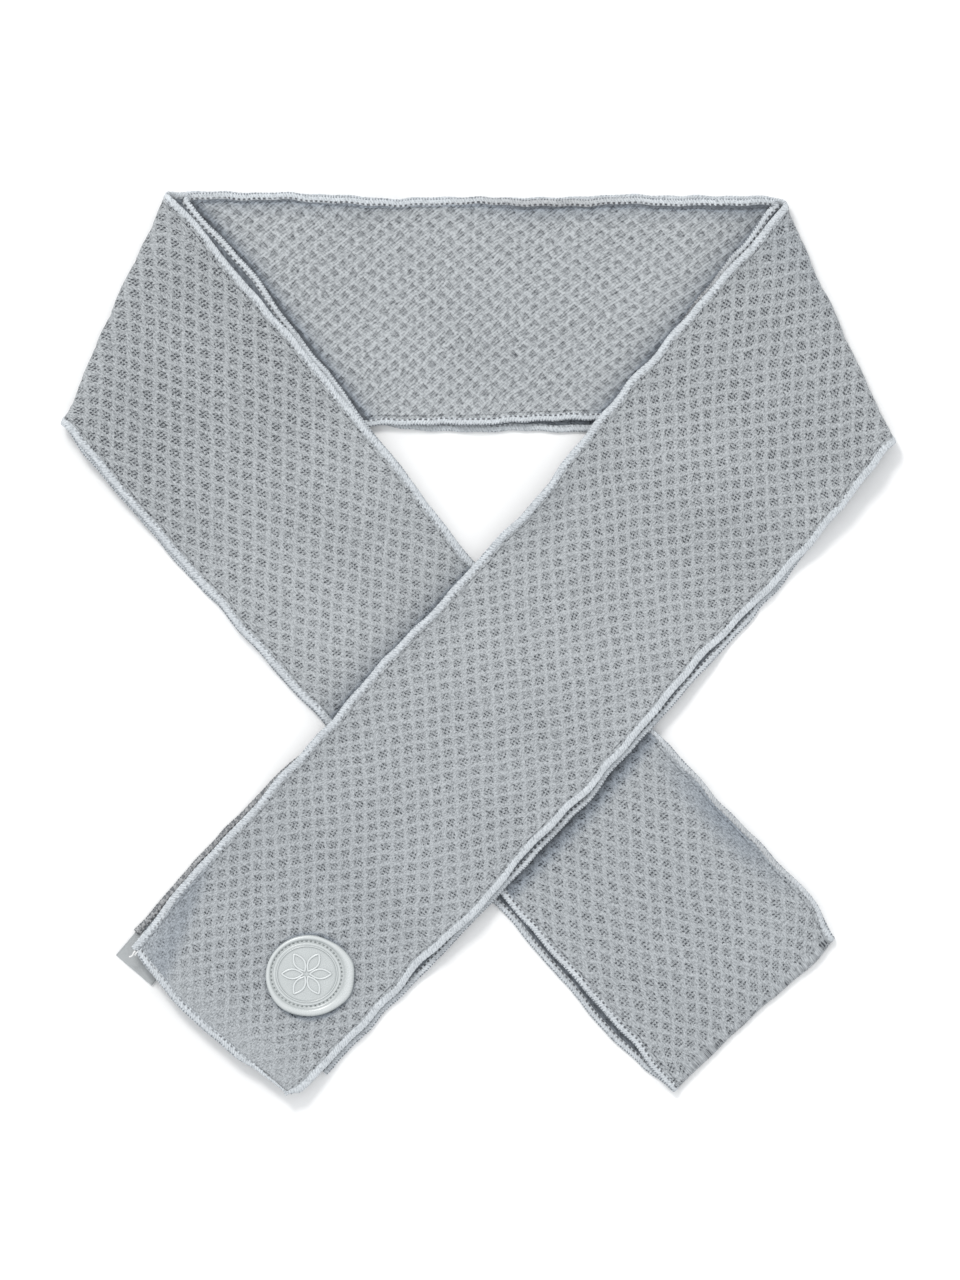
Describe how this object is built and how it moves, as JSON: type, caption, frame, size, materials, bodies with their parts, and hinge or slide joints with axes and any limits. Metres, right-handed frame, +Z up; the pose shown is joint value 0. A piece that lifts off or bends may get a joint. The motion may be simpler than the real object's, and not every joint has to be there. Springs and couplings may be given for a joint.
{
  "type": "mesh scarf",
  "caption": "Lightweight waffle-mesh cooling scarf, doubled along its length, laid flat with crossed ends, overlocked edges, a round moulded badge and a blank side tag.",
  "frame": {"origin": "middle of the neck stretch, on the surface that the scarf lies on", "axes": "+X along the neck stretch, towards the fold of the arm with the badge; +Y away from the two ends; +Z up, out of the surface"},
  "size_m": [0.3197, 0.3484, 0.0115],
  "materials": {
    "mesh_cloth": "matt waffle mesh knit, grey",
    "hem_thread": "pale overlock thread",
    "badge_silicone": "moulded silicone, soft sheen",
    "tag_satin": "smooth satin ribbon, grey"
  },
  "bodies": {
    "root": {"mesh_band": "mesh_cloth", "upper_edge_hem": "hem_thread", "lower_edge_hem": "hem_thread", "badge_end_hem": "hem_thread", "tag_end_hem": "hem_thread", "badge": "badge_silicone", "side_tag": "tag_satin"}
  },
  "joints": []
}
